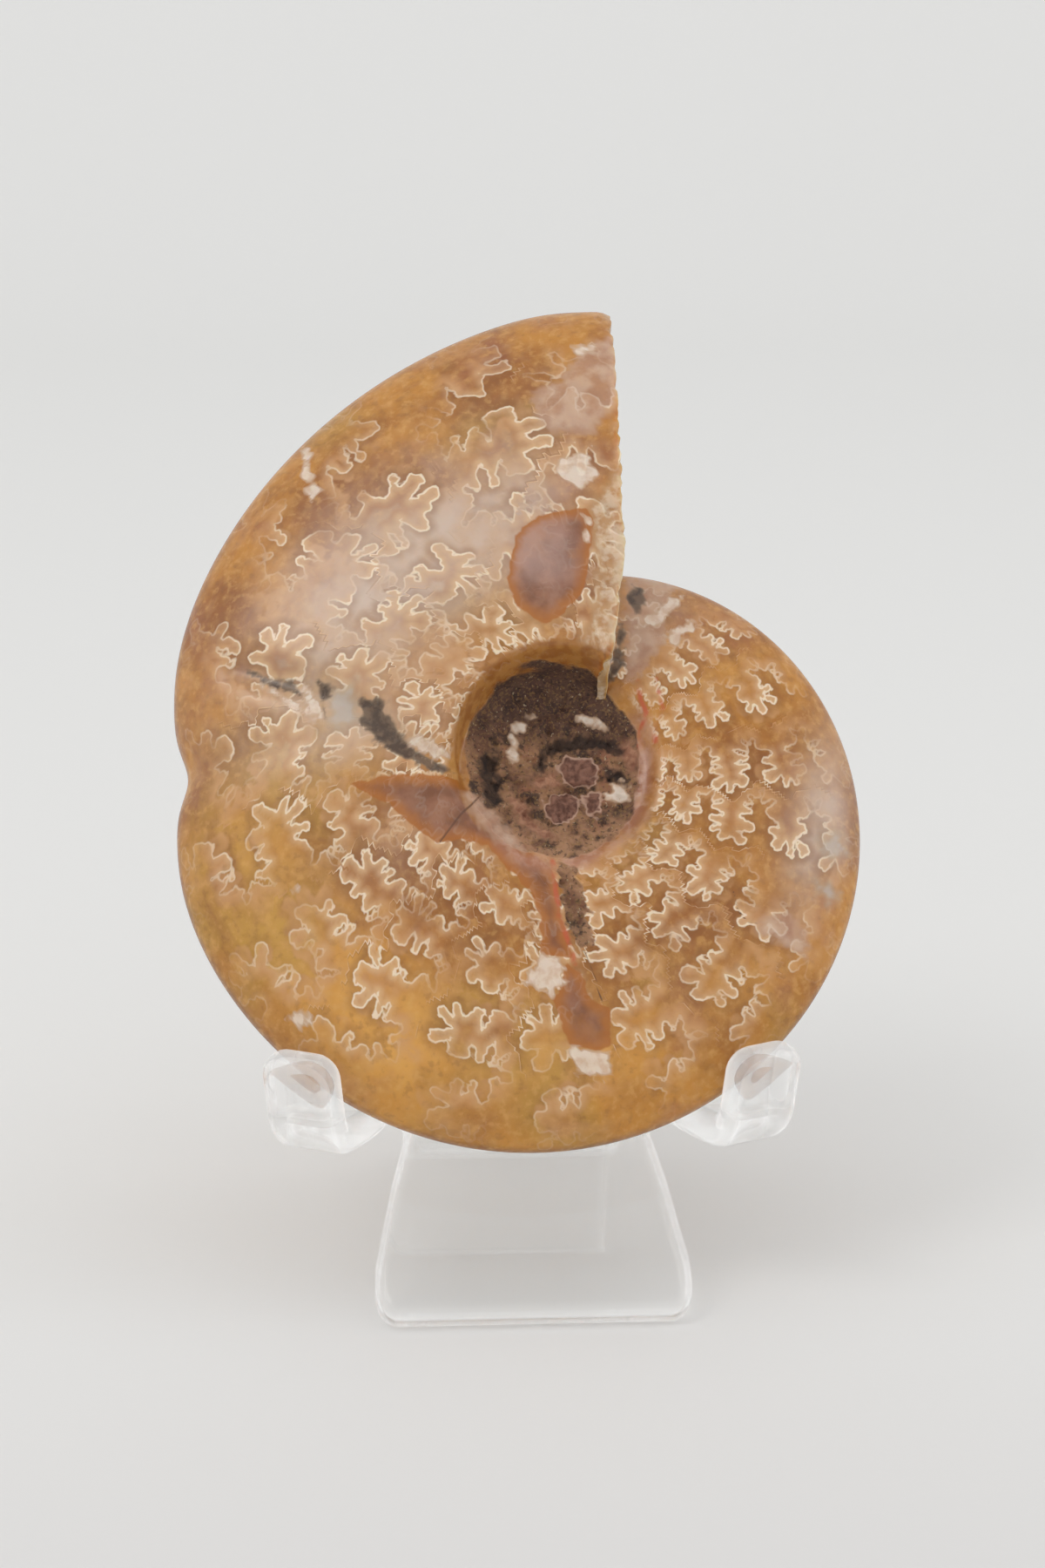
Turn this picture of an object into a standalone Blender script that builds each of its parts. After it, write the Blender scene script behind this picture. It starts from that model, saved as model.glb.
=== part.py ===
"""Polished fossil ammonite that leans on a small stand bent from clear acrylic sheet.

The ammonite is one coiled loft. Its outline is a spiral that grows by the same share each turn,
and at every angle the cross-section is half of an ellipse on each side of the middle plane.
It is modelled lying flat, front face up, and then leaned back on the stand.

The stand is one strip of sheet: a front leg, two arms with upturned lips, a back rest and a rear
leg. Its middle surface is laid out first and gets its thickness and its rounded edges afterwards.
"""

import math

import bmesh
import bpy
import numpy as np

MM = 0.001

# Where the pieces stand: the middle of the whole object is over the origin, and the floor is z = 0
STAND_X = 0.42 * MM
STAND_Y = -21.81 * MM

# Ammonite, lengths in millimetres of its own flat frame: x to the right, y up, z to the front
SPIRAL_START = 48.24
SPIRAL_GROWTH = 0.1344
SPIRAL_WAVE = 0.1023
SPIRAL_WAVE_AT = math.radians(62.9)
SPIRAL_RIPPLE = 0.0162
SPIRAL_RIPPLE_AT = math.radians(73.3)
BITE_AT = 87.5
WORN_TIP_AT = -9.0
HALF_THICKNESS = 11.0
RIM_RADIUS = 8.2
RIM_OFFSET = 0.9
RIM_ROUNDING = 1.6
CUT_X = 6.8
CUT_X_AT_RIM = 4.9
CUT_REACH = 21.0
FLOOR_LEVEL = 5.5
FLOOR_CENTRE = 3.6
INNER_WHORL_RELIEF = 0.45
CUT_HOLLOW = 0.9
LEAN = math.radians(30.0)
POLE_X = 2.62 * MM
POLE_Y = 20.18 * MM
POLE_Z = 43.52 * MM

# Cracks of the front face: points in millimetres, depth, half-width
FRONT_CRACKS = (
    (((-28.2, 10.3), (-23.9, 8.6), (-18.4, 6.2), (-14.2, 2.8), (-9.2, 0.3)), 0.7, 1.5),
    (((0.0, -8.2), (0.6, -12.2), (2.1, -16.1), (3.5, -23.7)), 0.5, 1.1),
)

# Mesh density of the ammonite
ROWS = 90
FLOOR_RINGS = 6
FRONT_COLUMNS = 13
BACK_COLUMNS = 11
CUT_STEPS = 4

# Stand: one strip of 3 mm sheet
SHEET = 3.0 * MM
EDGE_ROUNDING = 1.0 * MM
LEG_LEAN = math.radians(48.0)
REST_LEAN = math.radians(30.0)
REAR_LEAN = math.radians(8.0)
FOOT_TRIM = 0.8 * MM
ARM_ROOT = 23.9 * MM
KNEE = 9.0 * MM
KNEE_RADIUS = 12.0 * MM
REST_LENGTH = 9.0 * MM
BEND_RADIUS = 4.6 * MM
LEG_HALF_WIDTHS = ((0.0, 13.2), (0.8, 13.9), (2.2, 14.2), (5.5, 14.1), (9.0, 13.4), (14.0, 12.4),
                   (20.0, 10.8), (23.9, 9.4))
REST_HALF_WIDTHS = ((23.9, 19.2), (31.0, 18.4), (40.0, 14.5), (48.0, 11.4), (53.0, 10.7), (200.0, 10.7))
ARM_CENTRE = 15.6 * MM
ARM_HALF_WIDTH = 3.6 * MM
ARM_SHELF = 7.8 * MM
ARM_RISE = math.radians(5.8)
ARM_HEADINGS = ((0.0, 4.0), (3.0, 12.0), (12.0, 28.0), (40.0, 28.0))
LIP_RADIUS = 3.1 * MM
LIP_LEAN = math.radians(12.0)
LIP_LENGTH = 6.3 * MM
LIP_CORNER = 2.3 * MM


def clear_scene():
    """Remove every object of the open file, so that the script starts from nothing."""
    for thing in list(bpy.data.objects):
        bpy.data.objects.remove(thing, do_unlink=True)


def material(name, colour, roughness, transmission=0.0):
    """A plain Principled BSDF in the colour of the real piece."""
    made = bpy.data.materials.new(name)
    made.use_nodes = True
    shader = made.node_tree.nodes["Principled BSDF"]
    shader.inputs["Base Color"].default_value = (*colour, 1.0)
    shader.inputs["Roughness"].default_value = roughness
    shader.inputs["Metallic"].default_value = 0.0
    shader.inputs["Transmission Weight"].default_value = transmission
    made.diffuse_color = (*colour, 1.0)
    return made


def bump(value, centre, width):
    """A smooth bump of height one around a centre."""
    return np.exp(-((value - centre) / width) ** 2)


def outline_radius(angle):
    """Distance of the outer edge from the pole: a growing spiral with two slow waves, the bite in
    its left edge and the worn tip of the last whorl."""
    growth = -SPIRAL_GROWTH * angle
    wave = -SPIRAL_WAVE * np.cos(angle - SPIRAL_WAVE_AT)
    ripple = SPIRAL_RIPPLE * np.cos(2.0 * angle + SPIRAL_RIPPLE_AT)
    degrees = np.degrees(angle)
    bite = 0.042 * bump(degrees, BITE_AT, 14.0) + 0.028 * bump(degrees, BITE_AT, 4.5)
    worn_tip = 0.019 * bump(degrees, WORN_TIP_AT, 6.5)
    return SPIRAL_START * np.exp(growth + wave + ripple) * (1.0 - bite - worn_tip)


def rim_radius(angle):
    """Radius of the umbilical rim, which is a circle set a little above the pole."""
    return RIM_RADIUS + RIM_OFFSET * np.cos(angle)


def half_thickness(angle):
    """Half of the whorl's thickness, which grows with the spiral."""
    return HALF_THICKNESS * np.exp(-SPIRAL_GROWTH * angle)


def cut_angle(radius):
    """Angle by which the straight cut at the aperture lies before the vertical, at a radius."""
    along = np.clip((radius - RIM_RADIUS) / (CUT_REACH - RIM_RADIUS), 0.0, 1.0)
    reach = CUT_X_AT_RIM + (CUT_X - CUT_X_AT_RIM) * along
    return np.arcsin(reach / np.maximum(radius, RIM_RADIUS))


def distance_to_path(x, y, path):
    """Distance of each point from a path of straight pieces."""
    nearest = np.full(np.shape(x), np.inf)
    for (ax, ay), (bx, by) in zip(path[:-1], path[1:]):
        length_squared = (bx - ax) ** 2 + (by - ay) ** 2
        along = np.clip(((x - ax) * (bx - ax) + (y - ay) * (by - ay)) / length_squared, 0.0, 1.0)
        nearest = np.minimum(nearest, np.hypot(x - ax - along * (bx - ax), y - ay - along * (by - ay)))
    return nearest


def floor_height(angle, share):
    """Height of the matrix in the umbilicus: a shallow bowl that carries the inner whorl's spiral."""
    at_rim = FLOOR_LEVEL - 0.9 * np.cos(angle) + 1.0 * np.sin(angle)
    bowl = FLOOR_CENTRE + (at_rim - FLOOR_CENTRE) * share ** 2
    turns = 2.0 * math.pi / (2.0 * math.pi * SPIRAL_GROWTH)
    inner_whorl = np.cos(angle - 1.0 + turns * np.log(np.maximum(share, 0.05)))
    return bowl + INNER_WHORL_RELIEF * inner_whorl * np.sin(math.pi * share) ** 0.5


def side_of_ammonite(columns):
    """One flat side, from the pole to the outer edge, as rows of points: x, y and height."""
    turn = np.linspace(0.0, 2.0 * math.pi, ROWS + 1)[:, None]
    share = np.linspace(0.0, 1.0, FLOOR_RINGS + 1)[None, :-1]
    floor_angle = turn - cut_angle(RIM_RADIUS)
    floor_r = share * rim_radius(floor_angle)
    floor_z = floor_height(floor_angle, share)

    edge_r = outline_radius(turn)
    for _ in range(6):
        edge_r = outline_radius(turn - cut_angle(edge_r))
    lift = 0.5 * math.pi * np.linspace(0.0, 1.0, columns + 1)[None, :] ** 1.5
    flank_angle = turn - cut_angle(RIM_RADIUS)
    for _ in range(6):
        flank_rim = rim_radius(flank_angle)
        flank_r = flank_rim + (edge_r - flank_rim) * np.sin(lift)
        flank_angle = turn - cut_angle(flank_r)
    flank_z = half_thickness(flank_angle) * np.cos(lift)
    wall = 1.0 - np.exp(-((flank_r - flank_rim) / RIM_ROUNDING) ** 2)
    rim_z = floor_height(flank_angle, 1.0)
    flank_z = rim_z + (flank_z - rim_z) * wall

    angle = np.hstack([floor_angle + 0.0 * floor_r, flank_angle])
    radius = np.hstack([floor_r, flank_r])
    height = np.hstack([floor_z, flank_z])
    return -radius * np.sin(angle), radius * np.cos(angle), height


def ammonite():
    """The whole fossil: two sides that meet at the outer edge, and the flat cut at the aperture."""
    front_x, front_y, front_z = side_of_ammonite(FRONT_COLUMNS)
    for path, depth, half_width in FRONT_CRACKS:
        near = np.exp(-(distance_to_path(front_x, front_y, path) / half_width) ** 2)
        front_z = front_z - depth * near * np.clip(front_z / 3.0, 0.0, 1.0)
    back_x, back_y, back_z = side_of_ammonite(BACK_COLUMNS)

    # Front pole to edge, then edge to back pole, with the shared edge point once
    x = np.hstack([front_x, back_x[:, -2::-1]])
    y = np.hstack([front_y, back_y[:, -2::-1]])
    z = np.hstack([front_z, -back_z[:, -2::-1]])
    rows, columns = x.shape
    points = np.stack([x, y, z], axis=-1)

    mesh = bmesh.new()
    grid = [[mesh.verts.new(point) for point in row] for row in points]
    for row in range(rows - 1):
        for column in range(columns - 1):
            mesh.faces.new((grid[row][column], grid[row + 1][column],
                            grid[row + 1][column + 1], grid[row][column + 1]))

    # The cut joins the open end of the last whorl to the whorl below it
    first_column = FLOOR_RINGS
    last_column = columns - 1 - FLOOR_RINGS
    strip = [grid[0][first_column:last_column + 1]]
    for step in range(1, CUT_STEPS):
        along = step / CUT_STEPS
        hollow = CUT_HOLLOW * math.sin(math.pi * along)
        between = (1.0 - along) * points[0] + along * points[-1]
        between[:, 0] -= hollow * np.clip(np.abs(between[:, 2]) / 2.0, 0.3, 1.0)
        strip.append([mesh.verts.new(point) for point in between[first_column:last_column + 1]])
    strip.append(grid[-1][first_column:last_column + 1])
    for near_line, far_line in zip(strip[:-1], strip[1:]):
        for column in range(len(near_line) - 1):
            mesh.faces.new((near_line[column], near_line[column + 1],
                            far_line[column + 1], far_line[column]))

    bmesh.ops.remove_doubles(mesh, verts=mesh.verts, dist=0.01)
    bmesh.ops.triangulate(mesh, faces=mesh.faces)
    bmesh.ops.recalc_face_normals(mesh, faces=mesh.faces)
    bmesh.ops.scale(mesh, vec=(MM, MM, MM), verts=mesh.verts)
    made = object_from(mesh, "ammonite")
    made.location = (STAND_X + POLE_X, STAND_Y + POLE_Y, POLE_Z)
    made.rotation_euler = (0.5 * math.pi - LEAN, 0.0, 0.0)
    made.data.materials.append(material("polished_calcite", (0.42, 0.22, 0.06), 0.2))
    return made


def object_from(mesh, name):
    """Turn a bmesh into a smooth-shaded object that is not yet in a collection."""
    data = bpy.data.meshes.new(name)
    mesh.to_mesh(data)
    mesh.free()
    data.shade_smooth()
    data.set_sharp_from_angle(angle=math.radians(40.0))
    return bpy.data.objects.new(name, data)


def walk(start, heading, moves):
    """Points along a path in a plane, made of straight runs and bends.

    A heading is the angle from the second axis towards the first. A move is a length, the turn
    over that length and the number of steps. Returns points, headings and distances.
    """
    points = [start]
    headings = [heading]
    distances = [0.0]
    for length, turn, steps in moves:
        for _ in range(steps):
            middle = headings[-1] + 0.5 * turn / steps
            stride = length / steps
            points.append((points[-1][0] + stride * math.sin(middle),
                           points[-1][1] + stride * math.cos(middle)))
            headings.append(headings[-1] + turn / steps)
            distances.append(distances[-1] + stride)
    return points, headings, distances


def half_width(distance, table):
    """Half-width of the strip at a distance from the foot, in metres."""
    along, widths = zip(*table)
    return float(np.interp(distance / MM, along, widths)) * MM


def display_stand(floor_cutter):
    """The bent strip: its middle surface, then thickness, round edges and feet cut level."""
    half_sheet = 0.5 * SHEET
    foot = (-half_sheet * math.cos(LEG_LEAN) - FOOT_TRIM * math.sin(LEG_LEAN),
            half_sheet * math.sin(LEG_LEAN) - FOOT_TRIM * math.cos(LEG_LEAN))
    top_turn = math.pi - REAR_LEAN - REST_LEAN
    knee_turn = REST_LEAN - LEG_LEAN
    up_to_arms = [(2.4 * MM, 0.0, 3), (ARM_ROOT - 2.4 * MM, 0.0, 7)]
    leg, leg_headings, leg_distances = walk(foot, LEG_LEAN, up_to_arms)
    beyond = [(KNEE, 0.0, 2), (KNEE_RADIUS * abs(knee_turn), knee_turn, 3), (REST_LENGTH, 0.0, 2),
              (BEND_RADIUS * top_turn, top_turn, 8), (44.0 * MM, 0.0, 4)]
    rest, _, rest_distances = walk(leg[-1], LEG_LEAN, beyond)

    mesh = bmesh.new()
    leg_shares = (-1.0, -0.5, 0.0, 0.5, 1.0)
    leg_rows = []
    for (y, z), distance in zip(leg, leg_distances):
        width = half_width(distance, LEG_HALF_WIDTHS)
        leg_rows.append([mesh.verts.new((share * width, y, z)) for share in leg_shares])
    root = leg_rows[-1]

    # The row where the arms leave the strip: arm, slot, leg, slot, arm
    root_y, root_z = leg[-1]
    arm_x = (ARM_CENTRE + ARM_HALF_WIDTH, ARM_CENTRE, ARM_CENTRE - ARM_HALF_WIDTH)
    left_arm = [mesh.verts.new((-x, root_y, root_z)) for x in arm_x]
    right_arm = [mesh.verts.new((x, root_y, root_z)) for x in reversed(arm_x)]
    root_row = left_arm + root + right_arm
    widest = arm_x[0]
    rest_rows = [root_row]
    for (y, z), distance in zip(rest[1:], rest_distances[1:]):
        width = half_width(distance + ARM_ROOT, REST_HALF_WIDTHS)
        rest_rows.append([mesh.verts.new((vert.co.x * width / widest, y, z)) for vert in root_row])
    for rows in (leg_rows, rest_rows):
        for lower, upper in zip(rows[:-1], rows[1:]):
            for column in range(len(lower) - 1):
                mesh.faces.new((lower[column], lower[column + 1], upper[column + 1], upper[column]))

    for side, first_row in ((-1.0, left_arm), (1.0, list(reversed(right_arm)))):
        add_arm(mesh, side, first_row, (root_y, root_z))

    bmesh.ops.recalc_face_normals(mesh, faces=mesh.faces)
    made = object_from(mesh, "display_stand")
    made.location = (STAND_X, STAND_Y, 0.0)
    thickness = made.modifiers.new("thickness", "SOLIDIFY")
    thickness.thickness = SHEET
    thickness.offset = 0.0
    edges = made.modifiers.new("round_edges", "BEVEL")
    edges.width = EDGE_ROUNDING
    edges.segments = 2
    edges.limit_method = "ANGLE"
    edges.angle_limit = math.radians(50.0)
    edges.use_clamp_overlap = False
    level = made.modifiers.new("level_feet", "BOOLEAN")
    level.operation = "DIFFERENCE"
    level.object = floor_cutter
    made.data.materials.append(material("clear_acrylic", (0.95, 0.96, 0.96), 0.05, 1.0))
    return made


def add_arm(mesh, side, first_row, root):
    """One arm: down to a level shelf that swings outwards, then up into a lip with round corners."""
    drop = 0.5 * math.pi + ARM_RISE - LEG_LEAN
    lip_turn = 0.5 * math.pi - ARM_RISE - LIP_LEAN
    shelf_moves = [(BEND_RADIUS * drop, -drop, 3), (ARM_SHELF, 0.0, 4),
                   (LIP_RADIUS * lip_turn, -lip_turn, 5), (LIP_LENGTH - LIP_CORNER, 0.0, 2),
                   (LIP_CORNER, 0.0, 4)]
    profile, _, distances = walk((0.0, root[1]), math.pi - LEG_LEAN, shelf_moves)
    length = distances[-1]
    along, degrees = zip(*ARM_HEADINGS)
    centre_x, centre_y = ARM_CENTRE, root[0]
    previous = first_row
    for (before, _), (forward, z), distance in zip(profile[:-1], profile[1:], distances[1:]):
        stride = forward - before
        heading = math.radians(float(np.interp(0.5 * (before + forward) / MM, along, degrees)))
        centre_x += stride * math.sin(heading)
        centre_y -= stride * math.cos(heading)
        outwards = math.radians(float(np.interp(forward / MM, along, degrees)))
        into_corner = max(0.0, LIP_CORNER - (length - distance))
        round_off = LIP_CORNER - math.sqrt(max(0.0, LIP_CORNER ** 2 - into_corner ** 2))
        width = ARM_HALF_WIDTH - 0.92 * round_off
        row = []
        for share in (1.0, 0.0, -1.0):
            x = centre_x + share * width * math.cos(outwards)
            y = centre_y + share * width * math.sin(outwards)
            row.append(mesh.verts.new((side * x, y, z)))
        for column in range(2):
            mesh.faces.new((previous[column], previous[column + 1], row[column + 1], row[column]))
        previous = row


def main():
    """Build both pieces in a collection of their own, and the cutter in another."""
    clear_scene()
    pieces = bpy.data.collections.new("fossil_ammonite")
    cutters = bpy.data.collections.new("cutters")
    bpy.context.scene.collection.children.link(pieces)
    bpy.context.scene.collection.children.link(cutters)

    floor_mesh = bmesh.new()
    bmesh.ops.create_cube(floor_mesh, size=1.0)
    bmesh.ops.scale(floor_mesh, vec=(0.2, 0.2, 0.05), verts=floor_mesh.verts)
    floor_cutter = object_from(floor_mesh, "floor_cutter")
    floor_cutter.location = (0.0, 0.0, -0.025)
    floor_cutter.hide_render = True
    floor_cutter.display_type = "WIRE"
    cutters.objects.link(floor_cutter)

    pieces.objects.link(ammonite())
    pieces.objects.link(display_stand(floor_cutter))


main()
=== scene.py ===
# %% [markdown]
# # A polished fossil ammonite on a clear stand
# The ammonite is a coiled shell that turned to stone. It was ground down and polished, so its outer
# wall is gone and the leafy edges of its chamber walls, the sutures, show as pale lines in amber
# calcite. It leans on a little stand bent from clear acrylic sheet. Solid models of both pieces are
# loaded first. They fix every size, and each piece made here takes the place of one of them.

# %% The solid model, which fixes the sizes
import math

import bmesh
import bpy
import numpy as np
from mathutils import Matrix, Vector


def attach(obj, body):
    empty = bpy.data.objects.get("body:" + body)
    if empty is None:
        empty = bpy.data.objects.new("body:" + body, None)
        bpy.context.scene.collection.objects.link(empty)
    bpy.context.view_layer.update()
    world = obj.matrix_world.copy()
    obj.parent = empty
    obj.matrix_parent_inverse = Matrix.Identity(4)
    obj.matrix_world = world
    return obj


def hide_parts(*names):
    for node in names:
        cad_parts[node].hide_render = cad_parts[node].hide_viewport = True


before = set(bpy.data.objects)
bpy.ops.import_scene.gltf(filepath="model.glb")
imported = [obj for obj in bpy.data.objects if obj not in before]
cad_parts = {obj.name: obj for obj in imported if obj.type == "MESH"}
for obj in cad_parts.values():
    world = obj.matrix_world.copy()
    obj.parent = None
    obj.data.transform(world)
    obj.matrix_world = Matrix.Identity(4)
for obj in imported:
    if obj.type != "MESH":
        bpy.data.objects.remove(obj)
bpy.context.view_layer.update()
MM = 0.001

# %% [markdown]
# Three small helpers serve every material. Colours are written as they would be picked on a screen,
# as hex values, and one function turns them into the linear light that the renderer works in. Another
# adds a shader node with its settings, and leaves its inputs to the third, which also fills the
# inputs of a finished shader.

# %% Colour and node helpers


def linear(hex_colour):
    """An sRGB hex colour as linear red, green, blue and alpha."""
    channels = [int(hex_colour[place:place + 2], 16) / 255.0 for place in (1, 3, 5)]
    light = [c / 12.92 if c <= 0.04045 else ((c + 0.055) / 1.055) ** 2.4 for c in channels]
    return (*light, 1.0)


def fill(made, **inputs):
    """Fill a node's inputs, each with a value, a hex colour or the socket it is linked to.

    An input's name has underscores for spaces; a name such as in0 stands for a socket's number.
    """
    for name, value in inputs.items():
        numbered = name.startswith("in") and name[2:].isdigit()
        socket = made.inputs[int(name[2:]) if numbered else name.replace("_", " ")]
        if isinstance(value, bpy.types.NodeSocket):
            made.id_data.links.new(value, socket)
        else:
            socket.default_value = linear(value) if isinstance(value, str) else value
    return made


def node(tree, kind, settings=None, **inputs):
    """Add a shader node with its own settings and fill its inputs."""
    made = tree.nodes.new("ShaderNode" + kind)
    for name, value in (settings or {}).items():
        setattr(made, name, value)
    return fill(made, **inputs)


def new_material(name):
    """A material with a plain Principled surface; returns it, its node tree and the shader."""
    made = bpy.data.materials.new(name)
    made.use_nodes = True
    return made, made.node_tree, made.node_tree.nodes["Principled BSDF"]


print("amber in linear light", [round(c, 3) for c in linear("#b98a45")])

# %% [markdown]
# The camera stands at the photograph's angle: 15 degrees above the object, 350 mm away and turned
# 3 degrees to the side, with a 90 mm lens. Its place is set from its three directions, because that
# is how it was worked out: along the view, to the right and up.

# %% Camera
VIEW_TURN = math.radians(3.1)
VIEW_DOWN = math.radians(15.0)
STAND_PLACE = Vector((0.42, -21.81, 0.0)) * MM
CAMERA_PLACE = Vector((-18.661, -325.140, 136.865)) * MM + STAND_PLACE

along = Vector((math.sin(VIEW_TURN) * math.cos(VIEW_DOWN), math.cos(VIEW_TURN) * math.cos(VIEW_DOWN),
                -math.sin(VIEW_DOWN)))
right = Vector((math.cos(VIEW_TURN), -math.sin(VIEW_TURN), 0.0))
up = right.cross(along)


def put_in_scene(name, data):
    """An object that shows this data, linked to the scene."""
    made = bpy.data.objects.new(name, data)
    bpy.context.scene.collection.objects.link(made)
    return made


camera_data = bpy.data.cameras.new("camera")
camera_data.lens = 90.0
camera_data.sensor_width = 36.0
camera_data.clip_start = 0.01
camera_data.dof.use_dof = False
camera = put_in_scene("camera", camera_data)
camera.matrix_world = Matrix.Translation(CAMERA_PLACE) @ Matrix((right, up, -along)).transposed().to_4x4()
bpy.context.scene.camera = camera
print("camera is", round(CAMERA_PLACE.length / MM), "mm from the middle of the stand's feet")

# %% [markdown]
# The ammonite's form is a spiral. Seen flat, the outer edge moves away from the pole by the same
# share each turn; two slow waves follow how this one was ground. The angle is counted from the
# aperture backwards into the shell. The same formulas shape the solid model, so the fine surface
# lies on it.

# %% The spiral outline, in millimetres
SPIRAL_START = 48.24
SPIRAL_GROWTH = 0.1344
RIM_RADIUS = 8.2
HALF_THICKNESS = 11.0
LEAN = math.radians(30.0)
POLE = Vector((2.62, 20.18, 43.52)) * MM + STAND_PLACE
FULL_TURN = 2.0 * math.pi
CUT_AT_RIM, CUT_WIDENS, CUT_STEADY = 4.9, 1.9, 21.0


def bump(value, centre, width):
    """A smooth bump of height one around a centre: e to the minus square of the distance."""
    return np.exp(-((value - centre) / width) ** 2)


def outline_radius(angle):
    """Outer edge: a start times e to the minus growth times angle, with waves, bite and worn tip."""
    waves = -0.1023 * np.cos(angle - math.radians(62.9)) + 0.0162 * np.cos(2.0 * angle + math.radians(73.3))
    degrees = np.degrees(angle)
    bite = 0.042 * bump(degrees, 87.5, 14.0) + 0.028 * bump(degrees, 87.5, 4.5)
    worn_tip = 0.019 * bump(degrees, -9.0, 6.5) + 0.034 * bump(degrees, -10.2, 1.7)
    return SPIRAL_START * np.exp(-SPIRAL_GROWTH * angle + waves) * (1.0 - bite - worn_tip)


def rim_radius(angle):
    """The umbilical rim: a circle whose middle lies a little above the pole."""
    return RIM_RADIUS + 0.9 * np.cos(angle)


def cut_angle(radius):
    """How far the straight cut at the aperture lies before the vertical: arcsine of its offset, which
    widens from the rim to a steady value, over the radius."""
    share = np.clip((radius - RIM_RADIUS) / (CUT_STEADY - RIM_RADIUS), 0.0, 1.0)
    return np.arcsin((CUT_AT_RIM + CUT_WIDENS * share) / np.maximum(radius, RIM_RADIUS))


quarter_turns = np.radians([0.0, 90.0, 180.0, 270.0])
print("outer radius every quarter turn", outline_radius(quarter_turns).round(1), "mm")

# %% [markdown]
# Nothing on a real fossil is perfectly even. Smooth irregularity comes from adding a few dozen plane
# waves of one length but with scattered directions and phases. It needs no tables, works on whole
# arrays at once and is the same in every run, because the scatter is seeded. The second function,
# the distance to a set of short lines, also serves many steps: sutures, patches, cracks and edges.

# %% Seeded irregularity, and the distance to lines


def unevenness(points, length, seed, waves=28):
    """Sum of plane waves about one length, in millimetres; the result has a spread of about one."""
    scatter = np.random.default_rng(seed)
    directions = scatter.normal(size=(waves, points.shape[-1]))
    directions /= np.linalg.norm(directions, axis=1, keepdims=True)
    frequencies = FULL_TURN / length * scatter.uniform(0.6, 1.5, waves)
    phases = scatter.uniform(0.0, FULL_TURN, waves)
    total = np.zeros(points.shape[:-1])
    for direction, frequency, phase in zip(directions, frequencies, phases):
        total += np.sin(points @ direction * frequency + phase)
    return total * math.sqrt(2.0 / waves)


def distance_to_lines(places, starts, ends):
    """Distance of each place to the nearest of many short straight lines, in blocks of lines."""
    nearest = np.full(len(places), np.inf)
    for first in range(0, len(starts), 60):
        start, span = starts[first:first + 60], ends[first:first + 60] - starts[first:first + 60]
        gap = places[:, None, :] - start[None]
        share = np.clip((gap * span).sum(axis=2) / ((span ** 2).sum(axis=1) + 1e-12), 0.0, 1.0)
        nearest = np.minimum(nearest, np.sqrt(((gap - share[..., None] * span) ** 2).sum(axis=2)).min(axis=1))
    return nearest


sample = np.stack([np.linspace(0.0, 50.0, 2000), np.zeros(2000)], axis=1)
print("spread of the unevenness", round(float(unevenness(sample, 3.0, 1).std()), 2))

# %% [markdown]
# The flank is a quarter ellipse from the umbilical rim out to the edge, and the umbilicus is a
# shallow bowl of rock. Both are laid out as one grid of rows, each a line from the pole outwards.
# Rows are turned by the straight cut, so that the first and the last row lie in the aperture's face.

# %% One side of the ammonite as a grid
ROWS = 500
FRONT_RINGS, BACK_RINGS = 24, 7
row_turns = np.linspace(0.0, FULL_TURN, ROWS + 1)


def half_thickness(angle):
    """Half of the whorl's thickness: it shrinks by the same share each turn as the spiral does."""
    return HALF_THICKNESS * np.exp(-SPIRAL_GROWTH * angle)


def floor_height(angle, share):
    """Rock in the umbilicus: a bowl that rises with the square of the distance, with a spiral ridge
    whose crest runs where angle plus the logarithm of the distance is constant."""
    at_rim = 5.5 - 0.9 * np.cos(angle) + 1.0 * np.sin(angle)
    bowl = 3.6 + (at_rim - 3.6) * share ** 2
    crest = np.cos(angle - 1.0 + np.log(np.maximum(share, 0.05)) / SPIRAL_GROWTH)
    return bowl + 0.45 * crest * np.sin(math.pi * share) ** 0.5 * np.clip(3.0 * share - 1.2, 0.0, 1.0)


def side_grid(flank_shares, floor_rings):
    """Rows of points x, y, height from the pole to the edge, with each point's angle, its distance
    from the rim and its way across the flank, which is arc length over the row's whole arc length."""
    turn = row_turns[:, None]
    share = np.linspace(0.0, 1.0, floor_rings + 1)[None, :-1]
    floor_angle = turn - cut_angle(RIM_RADIUS) + 0.0 * share
    floor_radius = share * rim_radius(floor_angle)
    edge_radius = outline_radius(turn)
    for _ in range(8):
        edge_radius = outline_radius(turn - cut_angle(edge_radius))
    lift = 0.5 * math.pi * flank_shares[None, :]
    angle = turn - cut_angle(RIM_RADIUS) + 0.0 * lift
    for _ in range(8):
        rim = rim_radius(angle)
        radius = rim + (edge_radius - rim) * np.sin(lift)
        angle = turn - cut_angle(radius)
    rim_height = floor_height(angle, 1.0)
    wall = 1.0 - np.exp(-((radius - rim) / 1.1) ** 2)
    height = rim_height + (half_thickness(angle) * np.cos(lift) - rim_height) * wall
    angle = np.hstack([floor_angle, angle])
    radius = np.hstack([floor_radius, radius])
    height = np.hstack([floor_height(floor_angle, share), height])
    points = np.stack([-radius * np.sin(angle), radius * np.cos(angle), height], axis=-1)
    strides = np.linalg.norm(np.diff(points[:, floor_rings:], axis=1), axis=-1)
    arc = np.hstack([np.zeros((ROWS + 1, 1)), np.cumsum(strides, axis=1)])
    across = np.hstack([np.full((ROWS + 1, floor_rings), -1.0), arc / arc[:, -1:]])
    return {"points": points, "angle": angle, "radius": radius, "across": across,
            "from_rim": radius - rim_radius(angle), "from_cut": turn * radius, "arc": arc[:, -1]}


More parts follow.
